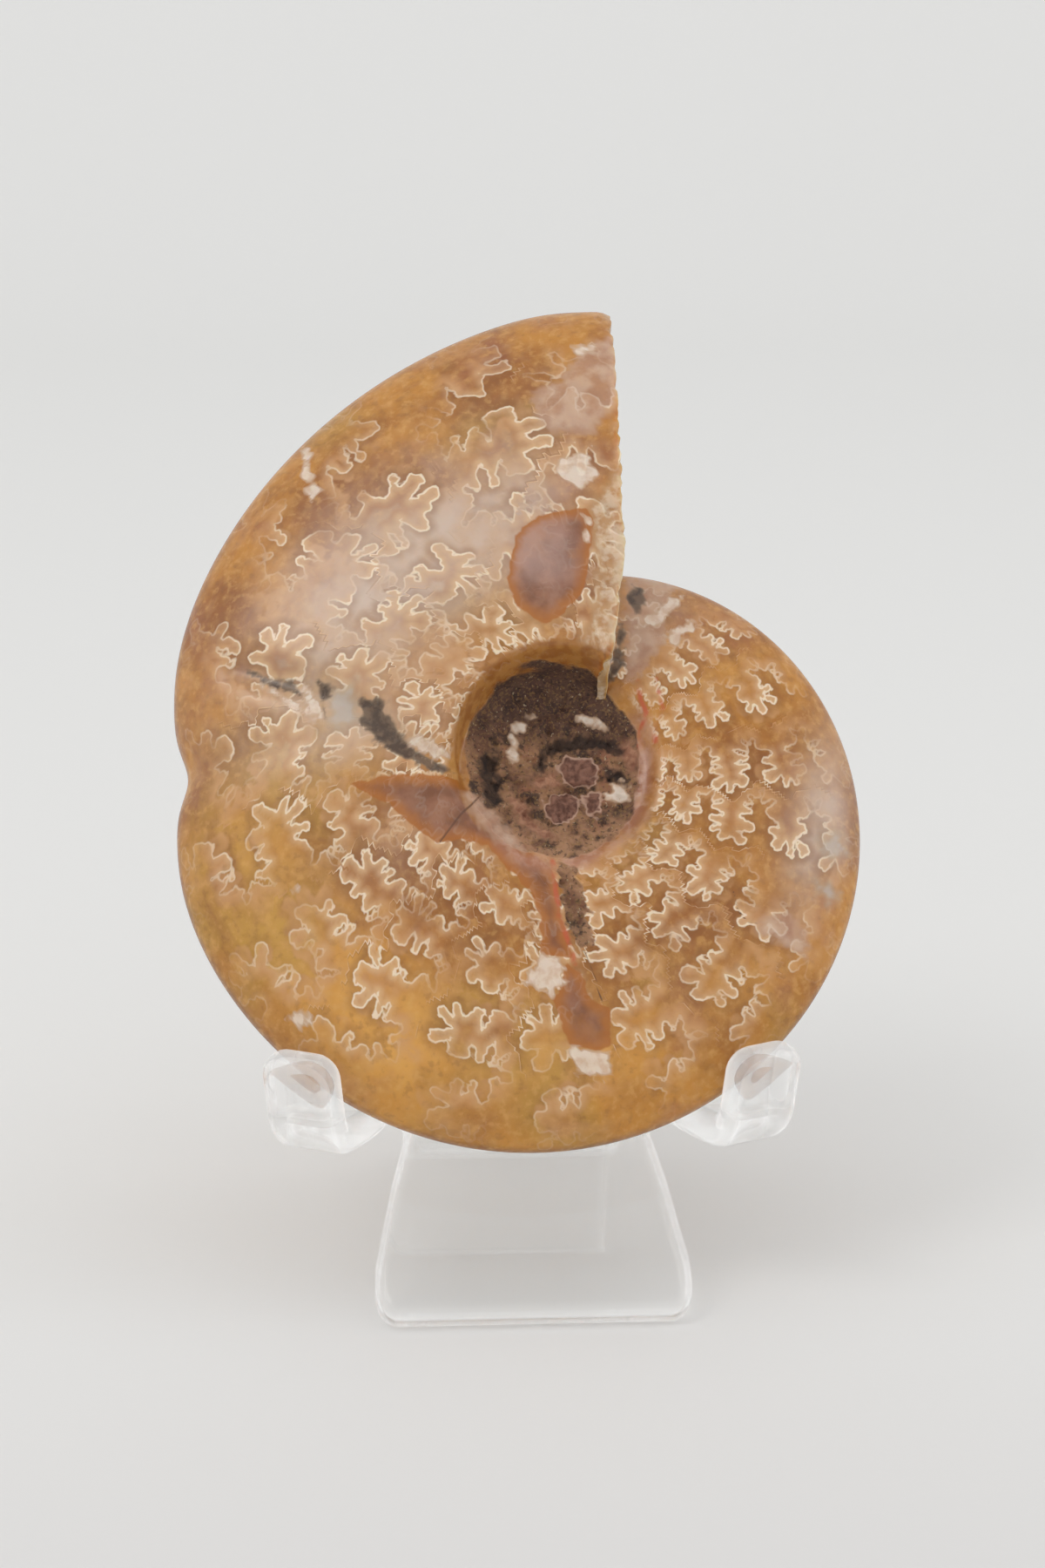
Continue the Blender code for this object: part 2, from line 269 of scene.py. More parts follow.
FRONT_SHARES = np.concatenate([np.linspace(0.0, 0.76, 92) ** 1.12, np.linspace(0.76 ** 1.12, 1.0, 17)[1:]])
BACK_SHARES = np.linspace(0.0, 1.0, 58) ** 1.25
front = side_grid(FRONT_SHARES, FRONT_RINGS)
back = side_grid(BACK_SHARES, BACK_RINGS)
print("front", front["points"].shape[:2], "back", back["points"].shape[:2], "points")
print("flank is", front["arc"].max().round(1), "mm across at the aperture")

# %% [markdown]
# A suture is the edge of a chamber wall. Near the middle of the animal the wall was flat, but its
# edge was frilled like lettuce, and the frills were frilled again. That is made the same way: a line
# from the rim to the outer edge is pushed forwards in rounded saddles with narrow necks, and then
# the result is pushed out again in smaller and smaller leaves. Forwards is towards the aperture.
# The valleys of each wave are cusps, which gives the pointed lobes between the rounded leaves.

# %% The frilled line of one suture
FINE = 0.06


def resample(path, spacing):
    """Points at even spacing along a path, by interpolating over its arc length."""
    distance = np.concatenate([[0.0], np.cumsum(np.hypot(*np.diff(path, axis=0).T))])
    even = np.arange(0.0, distance[-1], spacing)
    return np.stack([np.interp(even, distance, path[:, 0]), np.interp(even, distance, path[:, 1])], axis=1)


def frill(path, period, height, neck, roundness, wander):
    """Push a path sideways by a row of bumps, |sine| to the power of roundness, and swing it along
    itself by a sine of twice the bumps' rate, which narrows the foot of each bump to a neck."""
    step = np.gradient(path, axis=0)
    stride = np.hypot(*step.T)
    tangent = step / stride[:, None]
    forwards = np.stack([-tangent[:, 1], tangent[:, 0]], axis=1)
    phase = np.cumsum(stride / period) + wander
    bumps = np.abs(np.sin(math.pi * phase)) ** roundness - 0.5
    swing = neck * period * np.sin(4.0 * math.pi * phase) / (4.0 * math.pi)
    return path + forwards * (height * bumps)[:, None] + tangent * swing[:, None]


def saddle_width(path, arc):
    """Width of a saddle: narrow at the rim, and wider with the square root of the way across."""
    return arc * (0.06 + 0.22 * np.sqrt(np.clip(path[:, 0] / arc, 0.0, 1.0)))


def suture_path(seed, arc):
    """One suture in millimetres: distance across the flank, and distance forwards."""
    wave = np.random.default_rng(seed).uniform(0.0, FULL_TURN, 8)
    p = np.linspace(0.0, 1.0, 900)
    path = np.stack([p * arc, 0.02 * arc * np.sin(math.pi * p + 0.3)], axis=1)
    width = saddle_width(path, arc)
    saddles = np.cumsum(np.gradient(path[:, 0]) / width)[-1]
    wander = math.ceil(saddles) - saddles + 0.07 * np.sin(8.0 * p + wave[0]) * np.sin(math.pi * p)
    height = width * (0.74 + 0.2 * np.sin(math.pi * p) + 0.16 * np.sin(17.0 * p + wave[1]))
    path = resample(frill(path, width, height, 1.5, 1.35, wander), FINE)
    width = saddle_width(path, arc)
    run = np.arange(len(path)) * FINE
    height = width * (0.25 + 0.09 * np.sin(run * 1.1 + wave[2]))
    wander = 0.22 * np.sin(run * 0.8 + wave[3]) + 0.12 * np.sin(run * 2.1 + wave[4])
    path = resample(frill(path, 0.26 * width, height, 1.0, 0.85, wander), FINE)
    period = np.maximum(0.12 * saddle_width(path, arc), 0.42)
    run = np.arange(len(path)) * FINE
    height = period * (0.2 + 0.14 * np.sin(run * 1.7 + wave[5]))
    wander = 0.25 * np.sin(run * 1.3 + wave[6])
    return resample(frill(path, period, height, 0.6, 0.8, wander), 2.0 * FINE)


trial = suture_path(1, 24.0)
print("one suture is", round(len(trial) * 2.0 * FINE), "mm long on a flank of 24 mm, in", len(trial), "points")

# %% [markdown]
# The frilled lines are not modelled as geometry: the stone is polished flat, and they are colour
# only. So each vertex is told its distance from the nearest line, with a minus sign on the side of
# the chamber behind it. A shader can then draw a sharp line and a soft tint on either side of it. A
# second draw, the ghost, stands for the frills that lie deeper in the stone and look blurred.

# %% How far each vertex is from the nearest suture
SUTURE_TURN = math.radians(18.8)
FAR = 4.0
SLICE = 1.5


def crossings_above(places, starts, ends):
    """How many of the lines pass above each place: an odd number means inside, or behind a line."""
    count = np.zeros(len(places), dtype=int)
    for first in range(0, len(starts), 160):
        a, b = starts[first:first + 160], ends[first:first + 160]
        level = places[:, None, 0]
        crossing = (a[None, :, 0] <= level) != (b[None, :, 0] <= level)
        slope = (b[:, 1] - a[:, 1]) / np.where(b[:, 0] == a[:, 0], 1e-9, b[:, 0] - a[:, 0])
        above = a[None, :, 1] + (level - a[None, :, 0]) * slope[None] > places[:, None, 1]
        count += (crossing & above).sum(axis=1)
    return count


def suture_distance(side, seed):
    """Distance to the nearest suture for each point of a side: first with a sign, plus ahead of the
    line and minus behind it; then without, which tells a real line from a change of sign halfway
    between two lines; and last how far forward it lies, as a share of a saddle's width."""
    angle, radius, across = (side[name].ravel() for name in ("angle", "radius", "across"))
    turns = np.linspace(0.0, FULL_TURN, 400)
    arc_at_turn = np.interp(turns, row_turns, side["arc"])
    nearest, signed, tip = (np.full(angle.shape, value) for value in (FAR, FAR, 0.0))
    for number in range(int(7.2 / SUTURE_TURN) + 3):
        at = (number - 2.3) * SUTURE_TURN + 0.02 * math.sin(number * 2.7 + seed)
        arc = float(np.interp(at + 0.35, turns, arc_at_turn))
        path = suture_path(100 * seed + number, arc)
        forwards = (at - angle) * radius
        close = (across >= 0.0) & (np.abs(forwards) < 2.2 + np.abs(path[:, 1]).max())
        for low in np.arange(0.0, arc, SLICE):
            rows = np.flatnonzero(close & (across * arc >= low) & (across * arc < low + SLICE + 1e-6))
            near = (path[:-1, 0] > low - 2.3) & (path[:-1, 0] < low + 3.8)
            if not len(rows) or near.sum() < 3:
                continue
            places = np.stack([across[rows] * arc, forwards[rows]], axis=1)
            first = np.flatnonzero(near)
            distance = distance_to_lines(places, path[first], path[first + 1])
            behind = crossings_above(places, path[first], path[first + 1]) % 2 == 1
            better = distance < nearest[rows]
            nearest[rows] = np.where(better, distance, nearest[rows])
            signed[rows] = np.where(better, np.where(behind, -distance, distance), signed[rows])
            tip[rows] = np.where(better, forwards[rows] / saddle_width(places, arc), tip[rows])
    return [found.reshape(side["angle"].shape) for found in (signed, nearest, tip)]


for side, seed in ((front, 3), (back, 5)):
    side["suture"], side["suture_gap"], side["suture_tip"] = suture_distance(side, seed)
    side["ghost"], side["ghost_gap"], _ = suture_distance(side, seed + 4)
print("share of the front within 0.15 mm of a suture", round(float((front["suture_gap"] < 0.15).mean()), 3))

# %% [markdown]
# This fossil has its own marks: bits of the shell that the grinding left, veins of white calcite,
# grey rock in two cracks, and rock in the umbilicus. The shade outlines hold painted shadow in the
# umbilicus's hollows instead, and the red lines are iridescent shell whose flash is a painted glint.
# Each is an outline of a few points, seen flat, with x and y in turn in tenths of a millimetre. As with
# the sutures, a vertex only stores its distance from the nearest outline, made uneven, and the material
# turns that distance into colour.

# %% Patches and cracks of this fossil
PATCHES = {
    "mauve": (
        (-185, -12, -159, -7, -121, -6, -98, -7, -71, -10, -56, -40, -36, -70, -11, -85, -1, -101, 3, -137, 10, -171,
         -17, -168, -17, -137, -25, -111, -45, -91, -62, -72, -83, -65, -108, -68, -134, -48, -150, -32, -175, -18),
        (5, -174, 18, -184, 28, -209, 43, -214, 44, -247, 32, -253, 6, -247, -6, -209),
        (-39, 177, -30, 214, -11, 230, 13, 235, 34, 237, 40, 225, 34, 182, 28, 155, 4, 131, -9, 126, -32, 144, -38,
         160)),
    "pink": (
        (-11, 360, 13, 372, 42, 411, 71, 425, 73, 364, 45, 314, 5, 315, -10, 335),
        (-83, -15, -72, -18, -64, -27, -52, -39, -39, -54, -30, -74, -42, -72, -58, -62, -71, -51, -77, -39, -83,
         -29),
        (178, -134, 209, -127, 221, -142, 228, -157, 223, -166, 201, -156, 180, -148),
        (74, 200, 92, 208, 121, 189, 108, 152, 107, 126, 87, 105, 79, 88, 68, 90, 69, 121)),
    "cream": (
        (-267, 91, -236, 61, -216, 47, -207, 50, -210, 69, -223, 85, -228, 81, -218, 59, -236, 71),
        (-18, -168, 5, -172, 1, -197, -8, -204, -34, -191, -24, -179),
        (6, -247, 40, -252, 47, -274, 16, -274, 9, -262),
        (31, 231, 38, 225, 35, 202, 31, 205),
        (7, 288, 33, 293, 48, 272, 32, 257, 11, 264),
        (28, 411, 50, 414, 52, 403, 30, 401),
        (-138, 28, -120, 29, -100, 20, -96, 11, -108, 7, -128, 19),
        (-243, -216, -232, -209, -222, -213, -219, -222, -232, -224),
        (-240, -103, -233, -102, -229, -106, -236, -107),
        (-223, 324, -215, 323, -214, 293, -207, 272, -216, 261, -223, 288),
        (47, -15, 53, -7, 65, -3, 70, -10, 66, -20, 55, -24, 48, -21),
        (18, 52, 27, 59, 39, 61, 51, 52, 50, 47, 36, 50, 27, 53),
        (-41, 27, -36, 51, -16, 61, -23, 49, -33, 39, -28, 22, -39, 15),
        (79, 141, 97, 158, 117, 179, 127, 180, 119, 164, 98, 141),
        (107, 134, 122, 145, 139, 154, 131, 140, 118, 125, 109, 123)),
    "cloud": (
        (239, -57, 262, -47, 268, -70, 255, -76, 241, -71),
        (230, -97, 249, -98, 259, -111, 246, -117),
        (-200, 76, -179, 80, -174, 48, -195, 36, -205, 47)),
    "crystal": (
        (34, 237, 73, 290, 72, 212, 71, 180, 52, 119, 45, 79, 18, 101, 35, 135, 41, 184),),
    "dark": (
        (-276, 100, -231, 86, -226, 73, -254, 83),
        (-212, 84, -194, 79, -205, 66, -205, 50, -209, 69),
        (-174, 69, -153, 60, -138, 33, -118, 14, -92, -2, -108, -5, -133, 9, -159, 23, -172, 42),
        (73, 177, 78, 186, 87, 185, 91, 174, 87, 160, 80, 157, 75, 166),
        (61, 136, 68, 145, 71, 141, 69, 128, 63, 126),
        (45, 80, 50, 97, 63, 124, 69, 121, 66, 100, 56, 92)),
    "rock": (
        (-3, -82, 15, -89, 25, -124, 29, -158, 18, -163, 6, -137, 2, -106),),
    "inner": (
        (3, 16, 15, 21, 33, 21, 43, 8, 39, -4, 18, -10, 9, -2),
        (-9, -21, 1, -13, 18, -13, 25, -28, 16, -41, 0, -42, -8, -35),
        (26, -14, 41, -12, 44, -26, 36, -39, 28, -30)),
    "peach": (
        (-21, 5, 3, 8, 8, -7, -16, -8),
        (-42, -13, -27, -19, -15, -46, 3, -56, -10, -62, -33, -46),
        (62, 38, 78, 32, 79, 5, 69, 4, 60, 25)),
    # The shade outlines are painted shadow in the hollows of the umbilicus.
    "shade": (
        (6, 39, 32, 42, 54, 38, 66, 23, 49, 25, 26, 27, -2, 23, -9, 9, -16, 14, -6, 32),
        (-66, 18, -49, 32, -50, 2, -46, -24, -56, -32, -66, -8),
        (49, 9, 62, 9, 64, 1, 51, -3)),
}
LINES = {
    # The red lines are iridescent shell; their red flash is a painted glint.
    "red": (
        (-4, -82, -2, -111, 1, -137, 8, -156, 13, -176),
        (80, 88, 81, 70, 86, 58, 80, 41, 80, 25),
        (97, 90, 97, 80, 101, 62, 93, 40, 93, 31)),
    "crack": (
        (21, -163, 31, -189, 38, -214),
        (-67, -20, -87, -44, -105, -67),
        (158, -110, 161, -126, 169, -136, 181, -140)),
}
GROOVES = (((-282, 103, -239, 86, -184, 62, -142, 28, -92, 3), 0.7, 1.5),
           ((0, -82, 6, -122, 21, -161, 35, -237), 0.5, 1.1))

# Soft spots: middle x and y, half-length, half-width, turn and strength. They are pale haze, partly
# cloudy stone and partly painted highlight; lighter amber, painted light where the thin edge lets light
# through; and deeper amber on the right flank, painted shade
SPOTS = {
    "haze": ((0.0, 18.5, 4.5, 5.5, 0.0, 0.4), (-15.0, 17.0, 14.0, 7.0, 0.75, 0.95),
             (-4.0, 24.0, 8.0, 4.5, 0.8, 0.45), (-17.0, 4.0, 9.0, 3.5, 0.1, 0.55), (24.0, -4.0, 8.0, 2.8, 1.3, 0.85),
             (9.0, 15.0, 5.0, 3.0, 0.8, 0.35), (-14.0, -7.0, 6.0, 4.0, 0.6, 0.2)),
    "glow": ((-20.0, -19.0, 13.0, 6.0, -0.85, 0.8), (-4.0, -25.0, 12.0, 6.5, 0.0, 0.7),
             (-26.0, -5.0, 4.5, 8.0, 0.0, 0.5), (14.0, -20.0, 8.0, 4.0, 0.7, 0.3), (16.0, 12.0, 5.0, 3.5, -0.6, 0.4)),
    "dusk": ((15.0, -4.0, 9.0, 6.0, 1.3, 0.8), (11.0, -15.0, 8.0, 5.0, -0.7, 0.7),
             (-6.0, -13.0, 7.0, 4.0, 0.2, 0.5)),
}


def soft_spots(x, y, table):
    """Sum of turned oval spots, each e to the minus square of its way out, up to nine tenths."""
    total = np.zeros(x.shape)
    for at_x, at_y, long, wide, turn, strength in table:
        along = (x - at_x) * math.cos(turn) + (y - at_y) * math.sin(turn)
        aside = (y - at_y) * math.cos(turn) - (x - at_x) * math.sin(turn)
        total += strength * np.exp(-(along / long) ** 2 - (aside / wide) ** 2)
    return np.clip(total, 0.0, 0.9)


def patch_distance(places, outlines, closed):
    """Distance to the nearest outline, counted as minus inside a closed one."""
    nearest = np.full(len(places), FAR)
    for corners in outlines:
        corners = np.reshape(corners, (-1, 2)) / 10.0
        close = np.flatnonzero((np.abs(places - corners.mean(axis=0)) < FAR + np.ptp(corners, axis=0)).all(axis=1))
        ends = np.roll(corners, -1, axis=0) if closed else corners[1:]
        starts = corners if closed else corners[:-1]
        distance = distance_to_lines(places[close], starts, ends)
        if closed:
            distance = np.where(crossings_above(places[close], starts, ends) % 2 == 1, -distance, distance)
        nearest[close] = np.minimum(nearest[close], distance)
    return nearest


flat = front["points"][..., :2].reshape(-1, 2)
shape = front["angle"].shape
ragged = 0.16 * unevenness(flat, 1.5, 41) + 0.07 * unevenness(flat, 0.6, 42)
for name, outlines in PATCHES.items():
    front[name] = (patch_distance(flat, outlines, True) + (0.45 if name == "mauve" else 1.0) * ragged).reshape(shape)
for name, outlines in LINES.items():
    front[name] = patch_distance(flat + 0.12 * ragged[:, None], outlines, False).reshape(shape)
marks = [*PATCHES, *LINES]
for name in marks:
    back[name] = np.full(back["angle"].shape, FAR)
for side in (front, back):
    x, y = side["points"][..., 0], side["points"][..., 1]
    for name, table in SPOTS.items():
        side[name] = soft_spots(x, y, table)
    side["rim_side"] = np.cos(side["angle"] - math.radians(45.0))
    side["upper"] = y / RIM_RADIUS
    side["past_rim"] = side["from_rim"] - 1.1 * np.abs(side["upper"]) + 0.45
marks += [*SPOTS, "rim_side", "upper", "past_rim"]
print("marks", {name: int((front[name] < 0.0).sum()) for name in PATCHES}, "vertices inside")

# %% [markdown]
# A little of it is form. The two cracks are shallow grooves. The rock in the umbilicus is rough, with
# chips of shell standing on it and the humps of the oldest whorls, and the shell's broken rim stands
# up a little around its upper left.

# %% Relief of the front
BOWL_SOFT = 0.9


def inside_by(distance, width):
    """Nought outside an outline, rising to one over a width inside it, as a smooth step."""
    share = np.clip(-distance / width, 0.0, 1.0)
    return share * share * (3.0 - 2.0 * share)


height = front["points"][..., 2]
filled = np.clip(height / 3.0, 0.0, 1.0)
for path, depth, half_width in GROOVES:
    away = patch_distance(flat, (path,), False).reshape(shape)
    height -= depth * np.exp(-(away / half_width) ** 2) * filled
bowl = inside_by(front["from_rim"], BOWL_SOFT)
rough = (0.15 * unevenness(flat, 1.8, 51) + 0.07 * unevenness(flat, 0.7, 52)).reshape(shape)
height += rough * (bowl + inside_by(front["rock"], 0.3))
height += 0.6 * np.sqrt(inside_by(front["inner"], 1.4)) * bowl
height -= 0.5 * inside_by(front["shade"], 0.5) * bowl
height += 0.13 * inside_by(front["cream"], 0.25) * bowl
around = np.degrees(front["angle"]) % 360.0
upper_left = np.clip(1.0 - np.abs((around + 180.0) % 360.0 - 225.0) / 80.0, 0.0, 1.0)
height += 0.22 * bump(front["from_rim"], 0.55, 0.5) * np.sqrt(upper_left)
for side, column in ((front, FRONT_RINGS), (back, BACK_RINGS)):
    chipped = np.clip(0.7 + unevenness(side["points"], 1.7, 61), 0.0, None) * np.exp(-side["from_cut"] / 0.5)
    chipped *= np.clip(side["from_rim"] / 1.5, 0.0, 1.0)
    side["points"][:, column:, 0] -= 0.12 * chipped[:, column:]
print("relief is worked in; the lowest point of the front is", round(float(height.min()), 2), "mm from its middle")

# %% [markdown]
# The grid becomes one closed mesh. The front side runs from the pole to the outer edge and the back
# side returns from there to its own pole. A few rows close the straight cut at the aperture, and
# points that fall together at the poles and inside the umbilicus are merged. Then it is leaned back
# by 30 degrees and put on the stand.

# %% The ammonite's mesh
CUT_ROWS = 12


def quads(numbers):
    """Corner numbers of all quads between the neighbours in a grid of point numbers."""
    corners = [numbers[:-1, :-1], numbers[1:, :-1], numbers[1:, 1:], numbers[:-1, 1:]]
    return np.stack([corner.ravel() for corner in corners], axis=1)


def mesh_from(name, points, faces, fields):
    """A mesh from whole arrays: points in metres, quads, and one named number per point."""
    data = bpy.data.meshes.new(name)
    data.vertices.add(len(points))
    data.vertices.foreach_set("co", points.astype(np.float32).ravel())
    data.loops.add(faces.size)
    data.loops.foreach_set("vertex_index", faces.astype(np.int32).ravel())
    data.polygons.add(len(faces))
    data.polygons.foreach_set("loop_start", np.arange(0, faces.size, faces.shape[1], dtype=np.int32))
    data.update(calc_edges=True)
    for field, values in fields.items():
        data.attributes.new(field, "FLOAT", "POINT").data.foreach_set("value", values.astype(np.float32).ravel())
    return data


def closed_up(mesh, merge=0.0):
    """Merge points that lie within a distance, turn every face outwards and count the open edges."""
    work = bmesh.new()
    work.from_mesh(mesh)
    if merge:
        bmesh.ops.remove_doubles(work, verts=work.verts, dist=merge)
    bmesh.ops.recalc_face_normals(work, faces=work.faces)
    open_edges = sum(not edge.is_manifold for edge in work.edges)
    work.to_mesh(mesh)
    work.free()
    return open_edges


def joined(name):
    """A field of the front side, then of the back side in reverse without the shared edge."""
    return np.hstack([front[name], back[name][:, -2::-1]])


spots = np.hstack([front["points"], back["points"][:, -2::-1] * (1.0, 1.0, -1.0)])
rows, columns = spots.shape[:2]

# The cut joins the open end of the last whorl to the whorl below it, slightly hollowed
open_end = slice(FRONT_RINGS, columns - BACK_RINGS)
way = np.linspace(0.0, 1.0, CUT_ROWS + 1)[1:-1, None, None]
inner = (1.0 - way) * spots[:1, open_end] + way * spots[-1:, open_end]
arch = np.sin(math.pi * way[..., 0])
inner[..., 0] -= 0.9 * arch * np.clip(np.abs(inner[..., 2]) / 2.0, 0.3, 1.0) + 0.12 * unevenness(inner, 1.6, 21) * arch
skin = np.vstack([spots.reshape(-1, 3), inner.reshape(-1, 3)])
side_numbers = np.arange(rows * columns).reshape(rows, columns)
cut_numbers = rows * columns + np.arange(inner[..., 0].size).reshape(inner.shape[:2])
cut_numbers = np.vstack([side_numbers[:1, open_end], cut_numbers, side_numbers[-1:, open_end]])
faces = np.vstack([quads(side_numbers), quads(cut_numbers.T)])

# Numbers stored for the shader; on the cut each has one value
on_cut = dict.fromkeys([*SPOTS, "rim_side", "upper"], 0.0) | {"past_rim": 9.45, "across": 0.5}
fields = {"cut": np.repeat((0.0, 1.0), (rows * columns, inner[..., 0].size))}
for name in ["suture", "suture_gap", "suture_tip", "ghost", "ghost_gap", "from_cut", "across"] + marks:
    fields[name] = np.concatenate([joined(name).ravel(), np.full(inner[..., 0].size, on_cut.get(name, FAR))])

tilt = Matrix.Rotation(0.5 * math.pi - LEAN, 3, "X")
placed = skin @ np.array(tilt).T * MM + np.array(POLE)
shell_mesh = mesh_from("ammonite_shell", placed, faces, fields)
open_edges = closed_up(shell_mesh, 2e-6)
shell_mesh.shade_smooth()
shell_mesh.set_sharp_from_angle(angle=math.radians(52.0))
shell = put_in_scene("ammonite_shell", shell_mesh)
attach(shell, "root")
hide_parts("ammonite")
triangles = sum(len(polygon.vertices) - 2 for polygon in shell_mesh.polygons)
print("ammonite has", triangles, "triangles and", open_edges, "open edges")

# %% [markdown]
# The stand is one strip of 3 mm acrylic sheet, heated along lines and folded. Only its middle
# surface is laid out: rows of points along a path of straight runs and bends. The rows and columns
# crowd together towards every edge, because that is where the thickness will change.

# %% The stand's path
SHEET = 3.0
LEG_LEAN = math.radians(48.0)
REAR_LEAN = math.radians(8.0)
ARM_ROOT = 23.9
ARM_CENTRE = 15.6
ARM_HALF_WIDTH = 3.6
ARM_RISE = math.radians(5.8)
LIP_CORNER = 2.3
REAR_LENGTH = 36.55
EDGE_BAND = 1.6
ROOT_HALF_WIDTH = 9.4
TO_AN_EDGE = np.array([0.0, 0.012, 0.045, 0.11, 0.21, 0.36, 0.6, 1.0])


def walk(start, heading, moves):
    """Points of a path in a plane. Each move is a length, the turn over it and the shares of its way
    at which it stops; every step goes the sine and cosine of its mean heading."""
    strides = np.concatenate([length * np.diff(stops) for length, turn, stops in moves])
    turns = np.concatenate([turn * np.diff(stops) for length, turn, stops in moves])
    headings = heading + np.cumsum(turns) - 0.5 * turns
    moved = np.stack([strides * np.sin(headings), strides * np.cos(headings)], axis=1)
    return np.vstack([start, start + np.cumsum(moved, axis=0)]), np.concatenate([[0.0], np.cumsum(strides)])


def even(steps):
    """Evenly spaced stops from nought to one."""
    return np.linspace(0.0, 1.0, steps + 1)


foot = np.array([-0.5 * SHEET * math.cos(LEG_LEAN) - 0.8 * math.sin(LEG_LEAN),
                 0.5 * SHEET * math.sin(LEG_LEAN) - 0.8 * math.cos(LEG_LEAN)])
from_edge, up_to_edge = (EDGE_BAND, 0.0, TO_AN_EDGE), (EDGE_BAND, 0.0, 1.0 - TO_AN_EDGE[::-1])
leg, leg_distance = walk(foot, LEG_LEAN, [from_edge, (ARM_ROOT - 2.0 * EDGE_BAND, 0.0, even(26)), up_to_edge])
top_turn = math.pi - REAR_LEAN - LEAN
rest, rest_distance = walk(leg[-1], LEG_LEAN, [
    from_edge, (7.4, 0.0, even(8)), (12.0 * (LEG_LEAN - LEAN), LEAN - LEG_LEAN, even(8)), (9.0, 0.0, even(10)),
    (4.6 * top_turn, top_turn, even(36)), (REAR_LENGTH - EDGE_BAND, 0.0, even(24)), up_to_edge])
leg_width = np.interp(leg_distance, (0.0, 0.4, 0.9, 1.6, 2.6, 5.5, 9.0, 14.0, 20.0, 23.9),
                      (12.6, 13.2, 13.7, 14.0, 14.2, 14.1, 13.4, 12.4, 10.8, ROOT_HALF_WIDTH))
rest_width = np.interp(rest_distance + ARM_ROOT, (23.9, 31.0, 40.0, 48.0, 53.0, 200.0),
                       (19.2, 18.4, 14.5, 11.4, 10.7, 10.7)) / (ARM_CENTRE + ARM_HALF_WIDTH)
print("strip is", round(float(leg_distance[-1] + rest_distance[-1])), "mm long, and its rear end is at",
      rest[-1].round(2), "mm")

# %% [markdown]
# Each arm leaves the strip beside a slot, bends down to a level shelf, swings outwards and ends in
# an upturned lip with round corners. The lips are what the ammonite leans in.

# %% The stand's arms
ARM_SWING = ((0.0, 3.0, 12.0, 40.0), (4.0, 12.0, 28.0, 28.0))


def between_edges(half_width, middle_columns):
    """Shares of a half-width from one edge to the other, crowded in a narrow band at both edges."""
    near = TO_AN_EDGE * min(EDGE_BAND / half_width, 0.8)
    inner = np.linspace(-1.0 + near[-1], 1.0 - near[-1], middle_columns)[1:-1]
    return np.concatenate([-1.0 + near, inner, 1.0 - near[::-1]])


def arm_rows(side):
    """Rows across one arm: the profile's height, with its plan swinging outwards on the way."""
    drop = 0.5 * math.pi + ARM_RISE - LEG_LEAN
    lip_turn = 0.5 * math.pi - ARM_RISE - math.radians(12.0)
    round_stops = np.sin(0.5 * math.pi * even(22))
    profile, distance = walk(np.array([0.0, leg[-1, 1]]), math.pi - LEG_LEAN,
                             [(4.6 * drop, -drop, even(12)), (7.8, 0.0, even(12)),
                              (3.1 * lip_turn, -lip_turn, even(18)), (4.0, 0.0, even(7)),
                              (LIP_CORNER, 0.0, round_stops)])
    forward = profile[:, 0]
    swing = np.radians(np.interp(forward, *ARM_SWING))
    middle = np.radians(np.interp(0.5 * (forward[1:] + forward[:-1]), *ARM_SWING))
    step = np.diff(forward)
    centre_x = ARM_CENTRE + np.concatenate([[0.0], np.cumsum(step * np.sin(middle))])
    centre_y = leg[-1, 0] - np.concatenate([[0.0], np.cumsum(step * np.cos(middle))])
    into_corner = np.clip(LIP_CORNER - (distance[-1] - distance), 0.0, LIP_CORNER)
    width = ARM_HALF_WIDTH - 0.98 * (LIP_CORNER - np.sqrt(LIP_CORNER ** 2 - into_corner ** 2))
    across = -between_edges(ARM_HALF_WIDTH, 8)[None, :] * width[:, None]
    x = side * (centre_x[:, None] + across * np.cos(swing)[:, None])
    y = centre_y[:, None] + across * np.sin(swing)[:, None]
    return np.stack([x, y, np.broadcast_to(profile[:, 1:], x.shape)], axis=-1)


def strip_rows(path, half_widths, shares):
    """Rows across the strip: each path point spread sideways by shares of its half-width."""
    x = np.asarray(half_widths)[:, None] * shares[None, :]
    return np.stack([x, np.broadcast_to(path[:, :1], x.shape), np.broadcast_to(path[:, 1:], x.shape)], axis=-1)


leg_shares = between_edges(ROOT_HALF_WIDTH, 16)
arm_x = ARM_CENTRE - ARM_HALF_WIDTH * between_edges(ARM_HALF_WIDTH, 8)
slot_x = np.linspace(ARM_CENTRE - ARM_HALF_WIDTH, ROOT_HALF_WIDTH, 6)[1:-1]
root_x = np.concatenate([-arm_x, -slot_x, ROOT_HALF_WIDTH * leg_shares, slot_x[::-1], arm_x[::-1]])
patches = [strip_rows(leg, leg_width, leg_shares), strip_rows(rest, rest_width, root_x), arm_rows(-1.0), arm_rows(1.0)]
print("rows and columns of the leg, the rest and the arms", [patch.shape[:2] for patch in patches])

# %% [markdown]
# A flame run along the edge of acrylic melts it round. So the half-thickness is a function of the
# distance to the nearest edge of the sheet: it follows a circle near the edge and is level further
# in. The distance is taken to the edge lines of the middle surface, whatever part they belong to. The
# feet end a hair above the floor, because two faces in one plane would flicker.

# %% The sheet's thickness and round edges
FLAME_RADIUS = 1.25
FEET_HEIGHT = 0.04


def half_sheet(to_edge):
    """Half-thickness by distance to the edge: a straight start, then a quarter circle up to level."""
    inward = np.clip(to_edge, 0.0, FLAME_RADIUS)
    rise = np.sqrt(FLAME_RADIUS ** 2 - (FLAME_RADIUS - inward) ** 2)
    return 0.5 * SHEET - FLAME_RADIUS + rise


